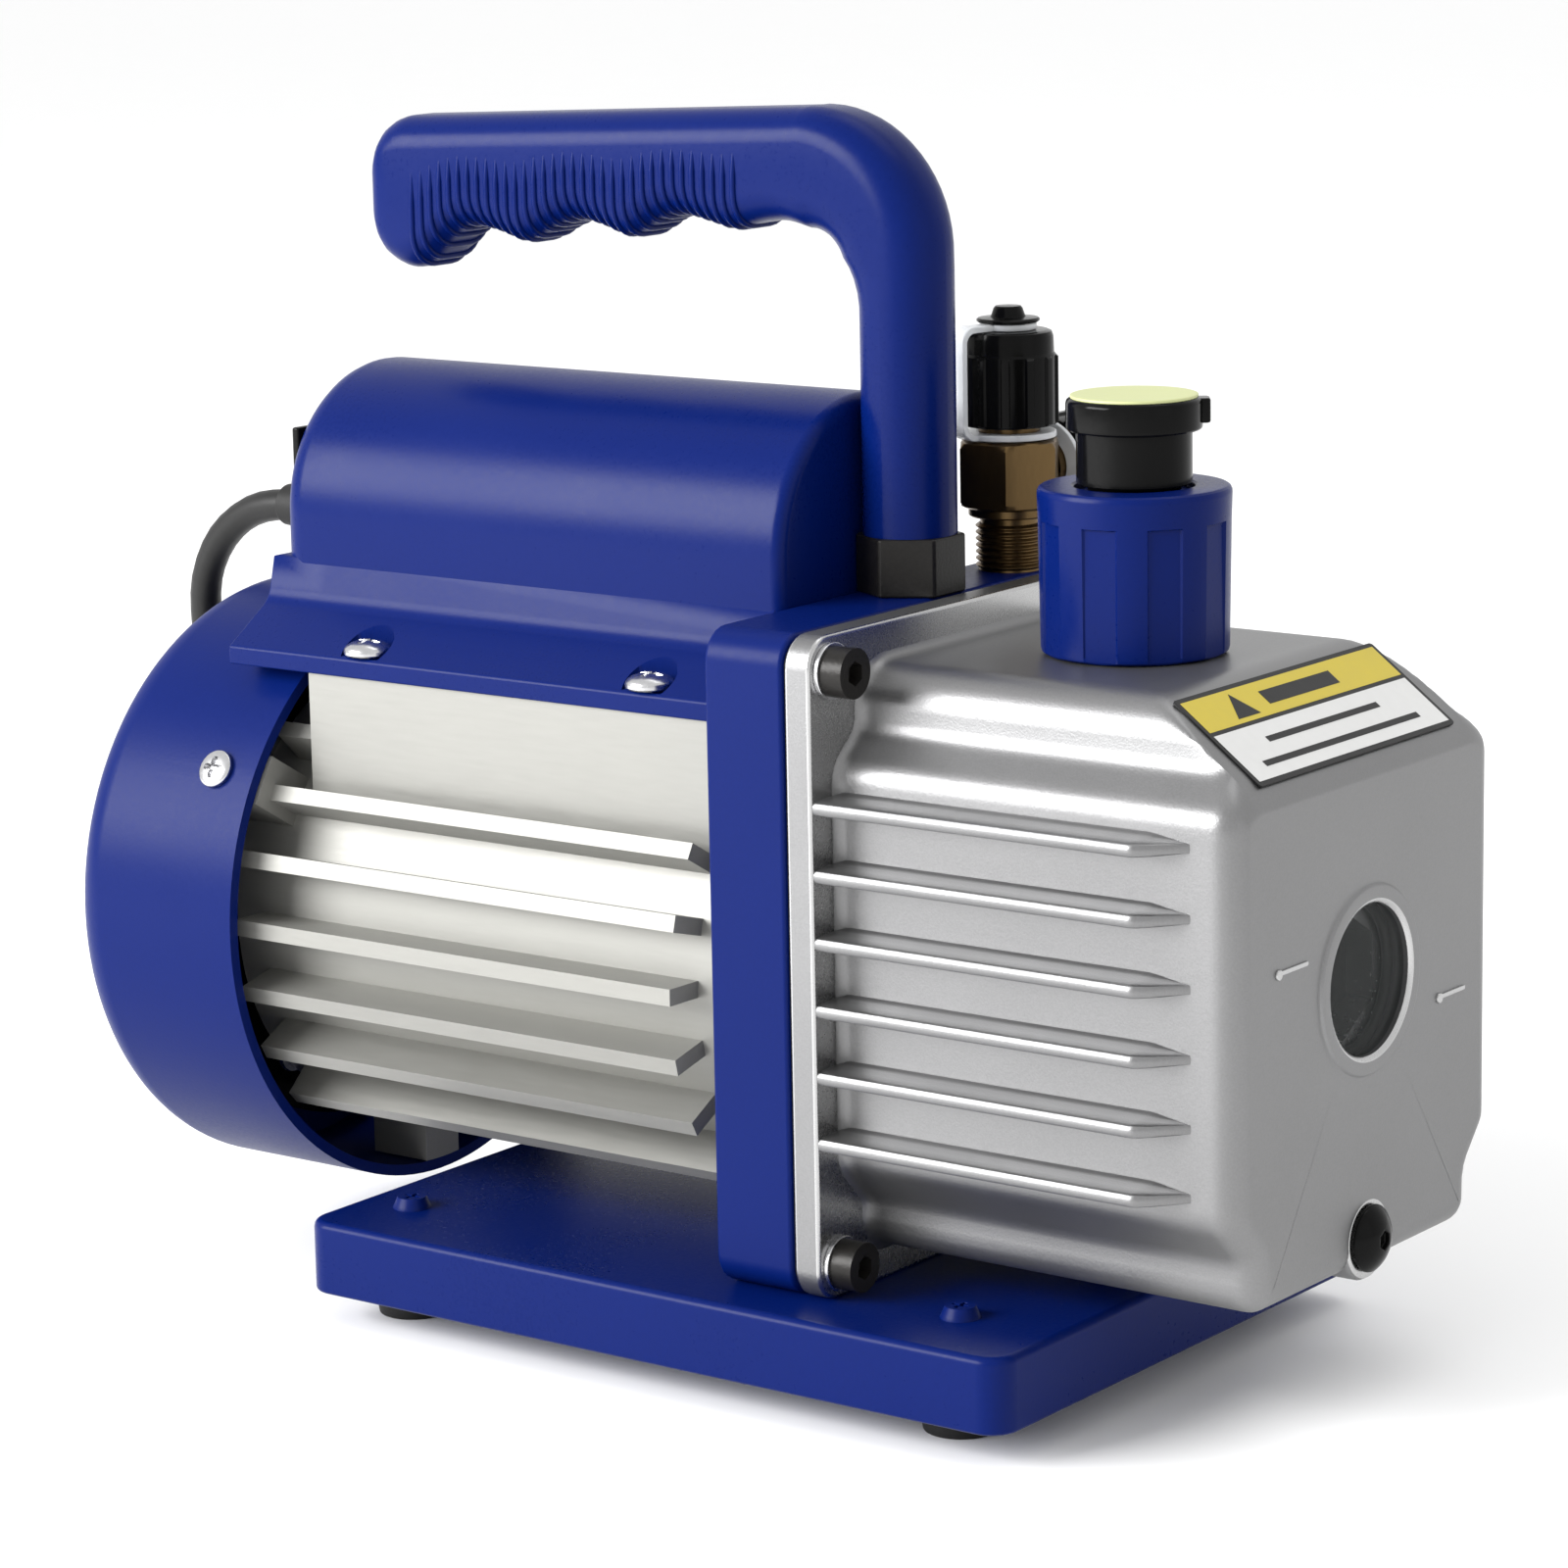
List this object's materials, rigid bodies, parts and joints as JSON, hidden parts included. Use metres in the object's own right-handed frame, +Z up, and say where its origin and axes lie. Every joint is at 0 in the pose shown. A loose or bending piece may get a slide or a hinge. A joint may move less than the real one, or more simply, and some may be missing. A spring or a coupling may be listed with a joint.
{
  "type": "rotary vane vacuum pump",
  "caption": "Portable rotary vane vacuum pump: finned motor and oil casing with sight glass, joined by a bracket, on a base plate with carry handle.",
  "frame": {"origin": "on the floor under the middle of the pump, in the plane of the shaft", "axes": "+X along the shaft towards the sight glass, +Y across, +Z up"},
  "size_m": [0.2965, 0.2348, 0.2324],
  "materials": {
    "blue_plastic": "satin moulded plastic",
    "blue_paint": "satin powder coat",
    "silver_paint": "fine satin silver paint on cast aluminium",
    "bright_aluminium": "cast, lightly brushed",
    "black_plastic": "glossy",
    "black_steel": "black oxide",
    "steel": "zinc plated",
    "rubber": "matte",
    "brass": "turned",
    "translucent_strap": "milky translucent",
    "disc_yellow": "pale yellow-green film",
    "label": "printed film",
    "glass": "clear",
    "copper": "enamelled copper wire",
    "laminations": "stacked sheet",
    "cast_iron": "machined",
    "white_plastic": "satin",
    "red_plastic": "glossy",
    "vane_composite": "phenolic"
  },
  "bodies": {
    "root": {"base_plate": "blue_plastic", "rubber_feet": "rubber", "foot_screws": "blue_paint", "foot_nuts": "steel", "bracket_screws": "black_steel", "pump_bracket": "blue_paint", "casing_gasket": "rubber", "oil_casing": "silver_paint", "casing_bolts": "black_steel", "casing_washers": "steel", "sight_glass_window": "glass", "sight_glass_seal": "rubber", "sight_glass_retainer": "steel", "caution_label": "label", "intake_fitting": "brass", "handle": "blue_plastic", "handle_stud": "steel", "handle_lock_nut": "black_steel", "motor_housing": "bright_aluminium", "stator_core": "laminations", "stator_windings": "copper", "bearing_outer_rings": "steel", "rear_end_shield": "bright_aluminium", "fan_cover": "blue_paint", "motor_screws": "steel", "terminal_box": "blue_plastic", "terminal_box_screws": "steel", "capacitor": "white_plastic", "capacitor_clip": "steel", "switch_bezel": "black_plastic", "strain_relief": "rubber", "power_cord": "rubber", "cord_coil": "rubber", "mains_plug": "rubber", "plug_pins": "brass", "pump_cylinder": "cast_iron", "pump_end_cover": "cast_iron", "pump_cover_screws": "black_steel", "valve_stop": "steel", "shaft_seal": "rubber"},
    "rotor": {"rotor_core": "laminations", "motor_shaft": "steel", "bearing_inner_rings": "steel", "bearing_balls": "steel", "cooling_fan": "black_plastic", "pump_rotor": "cast_iron", "vanes": "vane_composite", "vane_springs": "steel"},
    "exhaust_seal_body": {"exhaust_seal": "rubber"},
    "exhaust_knob_body": {"exhaust_knob": "blue_plastic"},
    "exhaust_plug_body": {"exhaust_plug": "black_plastic", "exhaust_plug_disc": "disc_yellow"},
    "intake_strap_body": {"intake_strap": "translucent_strap"},
    "intake_cap_body": {"intake_cap": "black_plastic"},
    "side_strap_body": {"side_strap": "translucent_strap"},
    "side_cap_body": {"side_cap": "black_plastic"},
    "drain_seal_body": {"drain_plug_seal": "rubber"},
    "drain_plug_body": {"drain_plug": "black_plastic"},
    "rocker_body": {"rocker_switch": "red_plastic"},
    "valve_reed_body": {"valve_reed": "steel"}
  },
  "joints": [
    {"name": "rotor_spin", "type": "hinge", "parent": "root", "child": "rotor", "pos_m": [0, 0, 0.0735], "axis": [1, 0, 0], "continuous": true},
    {"name": "exhaust_knob_lift", "type": "slide", "parent": "root", "child": "exhaust_seal_body", "axis": [0, 0, 1], "range_m": [0, 0.01201]},
    {"name": "exhaust_knob_turn", "type": "hinge", "parent": "exhaust_seal_body", "child": "exhaust_knob_body", "pos_m": [0.08025, 0, 0.136], "axis": [0, 0, 1], "range_deg": [0, 1440]},
    {"name": "intake_cap_lift", "type": "slide", "parent": "root", "child": "intake_strap_body", "axis": [0, 0, 1], "range_m": [0, 0.00763]},
    {"name": "intake_cap_turn", "type": "hinge", "parent": "intake_strap_body", "child": "intake_cap_body", "pos_m": [0.03225, 0.031, 0.1706], "axis": [0, 0, 1], "range_deg": [0, 2160]},
    {"name": "side_cap_draw", "type": "slide", "parent": "root", "child": "side_strap_body", "axis": [0, 1, 0], "range_m": [0, 0.00763]},
    {"name": "side_cap_turn", "type": "hinge", "parent": "side_strap_body", "child": "side_cap_body", "pos_m": [0.03225, 0.0436, 0.1615], "axis": [0, 1, 0], "range_deg": [0, 2160]},
    {"name": "drain_plug_draw", "type": "slide", "parent": "root", "child": "drain_seal_body", "axis": [1, 0, 0], "range_m": [0, 0.0075]},
    {"name": "drain_plug_turn", "type": "hinge", "parent": "drain_seal_body", "child": "drain_plug_body", "pos_m": [0.12905, 0, 0.034], "axis": [1, 0, 0], "range_deg": [0, 2163.38]},
    {"name": "exhaust_plug_pull", "type": "slide", "parent": "exhaust_knob_body", "child": "exhaust_plug_body", "axis": [0, 0, 1], "range_m": [0, 0.02]},
    {"name": "switch_rock", "type": "hinge", "parent": "root", "child": "rocker_body", "pos_m": [-0.0992, -0.013, 0.156], "axis": [0, -1, 0], "range_deg": [0, 15]},
    {"name": "valve_reed_flex", "type": "hinge", "parent": "root", "child": "valve_reed_body", "pos_m": [0.05, 0, 0.1012], "axis": [0, -1, 0], "range_deg": [0, 5], "stiffness_Nm_per_rad": 0.01}
  ],
  "couplings": [
    {"joint": "exhaust_knob_lift", "follows": "exhaust_knob_turn", "m_per_rad": 0.00047746},
    {"joint": "intake_cap_lift", "follows": "intake_cap_turn", "m_per_rad": 0.00020213},
    {"joint": "side_cap_draw", "follows": "side_cap_turn", "m_per_rad": 0.00020213},
    {"joint": "drain_plug_turn", "follows": "drain_plug_draw", "rad_per_m": 5026.5}
  ]
}
